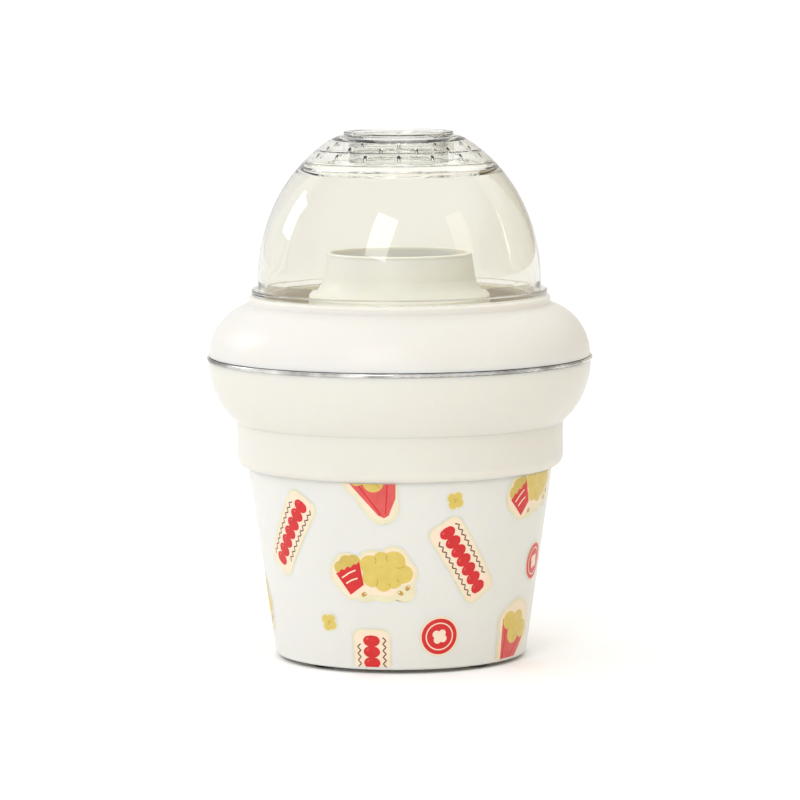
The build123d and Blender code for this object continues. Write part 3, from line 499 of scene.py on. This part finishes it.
def print_labels(name, art, places):
    """Print one design on the cup at each place (angle, height and, where given, tilt)."""
    combined = bmesh.new()
    for place in places:
        angle, height = math.radians(place[0]), place[1]
        tilt = Matrix.Rotation(math.radians(place[2] if len(place) > 2 else 0), 4, "Z")
        for ink, layer, outline in art:
            sheet = wrapped_sheet(outline, layer, tilt, angle, height)
            for face in sheet.faces:
                face.material_index = ink_order.index(ink)
            loose = bpy.data.meshes.new("loose")
            sheet.to_mesh(loose)
            combined.from_mesh(loose)
            bpy.data.meshes.remove(loose)
            sheet.free()
    mesh = bpy.data.meshes.new(name)
    combined.to_mesh(mesh)
    combined.free()
    for ink in inks:
        mesh.materials.append(ink)
    piece = bpy.data.objects.new(name, mesh)
    bpy.context.collection.objects.link(piece)
    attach(piece, "base")
    return piece


# Angle from the front towards +X, height of the middle, and tilt. These are the places of the
# CAD's labels, except that the low front banner is 4.5 mm lower and one bag 3 degrees further.
BANNERS = [(-48.8, 67.5, -34), (25.8, 55.8, 33), (-13.0, 0.0, 0), (131, 67, -32),
           (206, 57, 33), (-126, 22, 0)]
PUFFS = [(20.9, 85.4), (-32.4, 24.6), (106, 21), (160, 66), (202, 88), (-100, 68)]
BUCKETS = [(-11.4, 48.9, 0), (61, 86.5, 12), (138, 28, 0), (-93, 27, 0), (-130, 84, -6)]
CONES = [(-9.4, 91.5, 14), (57.2, 12.0, -25), (99, 87, -14), (174, 86, 10), (-97, 89, 12)]
DISCS = [(16.7, 18.4), (71, 49.5), (-152, 20), (-109, 52)]

for label, art, places in (
    ("banners", banner_art(), BANNERS), ("puffs", puff_art(), PUFFS),
    ("buckets", bucket_art(), BUCKETS), ("cones", cone_art(), CONES),
    ("discs", disc_art(), DISCS),
):
    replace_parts(print_labels("print_" + label, art, places), "label_" + label)


# ---------------------------------------------------------------- rocker marks
ROCKER_REST = math.radians(8.0)         # the rocker's tilt at rest, top end in
ROCKER_VALLEY = 2.7                     # pivot to the middle of the rocker's face
ROCKER_RISE = math.atan(1.2 / 9.0)      # slope of each half of the face
MARK_REACH = 4.3                        # middle of the face to each mark
MARK_LIFT = 0.04                        # thickness of paint


def rocker_marks():
    """White line on the rocker's top end and white ring on its lower end."""
    turn = next(j for j in frame["record"]["behaviour"]["joints"] if j["name"] == "rocker_turn")
    pivot = Vector(turn["pos_m"])
    lean = math.atan(CUP_SLOPE) - ROCKER_REST
    up = Vector((0, math.sin(lean), math.cos(lean)))
    out = Vector((0, math.cos(lean), -math.sin(lean)))
    marks = bmesh.new()
    for end in (1, -1):
        along = up * math.cos(ROCKER_RISE) + out * end * math.sin(ROCKER_RISE)
        proud = ROCKER_VALLEY + MARK_REACH * math.tan(ROCKER_RISE) + MARK_LIFT
        centre = pivot + (up * end * MARK_REACH + out * proud) * MM

        def place(x, y):
            return marks.verts.new(centre + (Vector((-x, 0, 0)) + along * y) * MM)

        if end == 1:
            marks.faces.new([place(*corner) for corner in panel(0.8, 3.4, 0.2, 3)])
        else:
            inner, outer = (
                [place(*point) for point in ellipse(0, 0, size, size)] for size in (1.1, 1.7)
            )
            for step in range(len(inner)):
                after = (step + 1) % len(inner)
                marks.faces.new((inner[step], outer[step], outer[after], inner[after]))
    for face in marks.faces:
        face.normal_update()
        if face.normal.y < 0:
            face.normal_flip()
    mesh = bpy.data.meshes.new("rocker_marks")
    marks.to_mesh(mesh)
    marks.free()
    mesh.materials.append(
        surface("mark_white", srgb(226, 226, 224), srgb(234, 234, 232), (0.4, 0.5), relief=0.02)
    )
    piece = bpy.data.objects.new("rocker_marks", mesh)
    bpy.context.collection.objects.link(piece)
    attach(piece, "rocker")


rocker_marks()


# ---------------------------------------------------------------- setting
def softbox(name, direction, distance, size, radiance, roll=0.0, colour=(1, 1, 1)):
    """Rectangular light of a given brightness, aimed at the object from one direction."""
    lamp = bpy.data.lights.new(name, "AREA")
    lamp.shape = "RECTANGLE"
    lamp.size, lamp.size_y = size
    lamp.energy = radiance * math.pi * size[0] * size[1]
    lamp.color = colour
    holder = bpy.data.objects.new(name, lamp)
    way = Vector(direction).normalized()
    holder.location = middle + way * distance
    turn = Matrix.Rotation(math.radians(roll), 3, "Z")
    holder.rotation_euler = ((-way).to_track_quat("-Z", "Y").to_matrix() @ turn).to_euler()
    bpy.context.collection.objects.link(holder)


def studio(left, front, right, above):
    """Soft surround that blends from one tone at each side to another overhead."""
    world = bpy.data.worlds.new("studio")
    world.use_nodes = True
    tree = world.node_tree
    way = node(tree, "ShaderNodeSeparateXYZ")
    tree.links.new(node(tree, "ShaderNodeTexCoord").outputs["Generated"], way.inputs[0])
    across = node(tree, "ShaderNodeMapRange", From_Min=-1)
    tree.links.new(way.outputs["X"], across.inputs["Value"])
    sides = node(tree, "ShaderNodeValToRGB")
    sides.color_ramp.elements[0].color = (*left, 1)
    sides.color_ramp.elements.new(0.5).color = (*front, 1)
    sides.color_ramp.elements[-1].color = (*right, 1)
    tree.links.new(across.outputs["Result"], sides.inputs["Fac"])
    rise = node(tree, "ShaderNodeMapRange", interpolation_type="SMOOTHSTEP",
                From_Min=0.2, From_Max=0.8)
    tree.links.new(way.outputs["Z"], rise.inputs["Value"])
    blend = node(tree, "ShaderNodeMix", data_type="RGBA")
    tree.links.new(rise.outputs["Result"], blend.inputs["Factor"])
    tree.links.new(sides.outputs["Color"], blend.inputs[6])
    blend.inputs[7].default_value = (*above, 1)
    background = tree.nodes["Background"]
    tree.links.new(blend.outputs[2], background.inputs["Color"])
    bpy.context.scene.world = world


low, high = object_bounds()
middle = Vector((0, 0, low.z + 0.8 * (high.z - low.z)))
softbox("key", (-0.246, -0.836, 0.49), 1.9, (0.6, 1.0), 3.6, roll=-15)
softbox("left_strip", (-0.844, 0.39, 0.369), 1.8, (0.42, 0.56), 4.0)
softbox("right_fill", (0.751, -0.483, 0.449), 1.8, (0.5, 0.8), 1.1, colour=(1, 0.9, 0.72))
studio(left=(1.03, 1.03, 1.03), front=(0.86, 0.85, 0.83), right=(0.38, 0.28, 0.08),
       above=(1.2, 1.2, 1.2))

FLOOR_RADIUS = 40.0
bpy.ops.mesh.primitive_circle_add(vertices=96, radius=FLOOR_RADIUS, fill_type="NGON",
                                  location=(0, 0, low.z))
floor = bpy.context.object
floor.name = "floor"
floor.data.materials.append(
    surface("studio_floor", srgb(252, 252, 252), srgb(254, 254, 254), (0.7, 0.8), patch=2)
)

CAMERA_AT = (0, -2.232, 0.3705)
CAMERA_AIM = (0, 0, 0.1266)
CAMERA_ROLL = math.radians(-0.3)
camera = bpy.data.cameras.new("camera")
camera.lens = 204.7
camera.sensor_width = 36
viewer = bpy.data.objects.new("camera", camera)
viewer.location = CAMERA_AT
aim = Vector(CAMERA_AIM) - viewer.location
viewer.rotation_euler = (
    aim.to_track_quat("-Z", "Y").to_matrix() @ Matrix.Rotation(CAMERA_ROLL, 3, "Z")
).to_euler()
bpy.context.collection.objects.link(viewer)
bpy.context.scene.camera = viewer
bpy.context.scene.view_settings.view_transform = "Standard"
